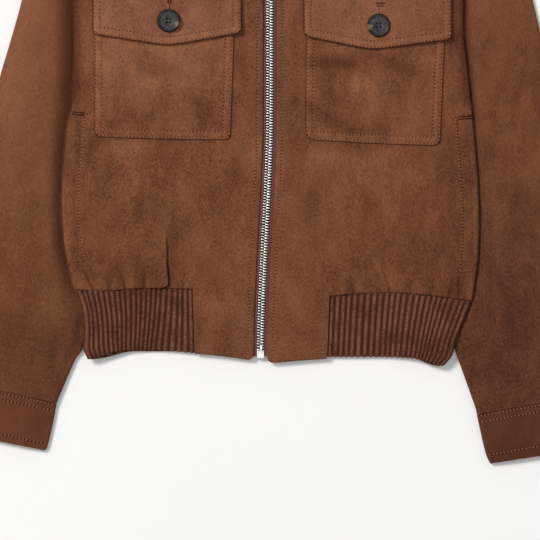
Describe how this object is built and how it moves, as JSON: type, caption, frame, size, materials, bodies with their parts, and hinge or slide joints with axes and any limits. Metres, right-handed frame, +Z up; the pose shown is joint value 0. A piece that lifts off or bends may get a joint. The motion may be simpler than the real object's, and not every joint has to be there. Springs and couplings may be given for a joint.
{
  "type": "zipped suede jacket",
  "caption": "Brown suede jacket laid flat, with a central zip, buttoned patch pockets on the chest, side welts, rib-knit hem panels, a turn-down collar and cuffed sleeves.",
  "frame": {"origin": "middle of the jacket's outline on the surface it lies on", "axes": "+Z up from the surface through the cloth, +Y from the hem to the collar, +X to the right of someone looking down on the closed front"},
  "size_m": [0.6952, 0.749, 0.0213],
  "materials": {
    "suede": "brushed suede nap, matte",
    "rib_knit": "rib knit, matte",
    "zip_tape": "woven tape, matte",
    "zip_metal": "bright nickel",
    "button_horn": "polished dark horn"
  },
  "bodies": {
    "jacket": {"back": "suede", "front_left": "suede", "front_right": "suede", "sleeve_left": "suede", "sleeve_right": "suede", "cuff_left": "suede", "cuff_right": "suede", "pocket_left": "suede", "pocket_right": "suede", "flap_left": "suede", "flap_right": "suede", "welt_left": "suede", "welt_right": "suede", "collar_stand": "suede", "collar_fall": "suede", "hem_rib": "rib_knit", "zip_tape_left": "zip_tape", "zip_tape_right": "zip_tape", "zip_chain": "zip_metal", "zip_box": "zip_metal", "zip_slider": "zip_metal", "button_left": "button_horn", "button_right": "button_horn"},
    "pull": {"zip_pull": "zip_metal"}
  },
  "joints": [
    {"name": "pull_swing", "type": "hinge", "parent": "jacket", "child": "pull", "pos_m": [0.002, 0.266, 0.0081], "axis": [-1, 0, 0], "range_deg": [0, 150]}
  ]
}
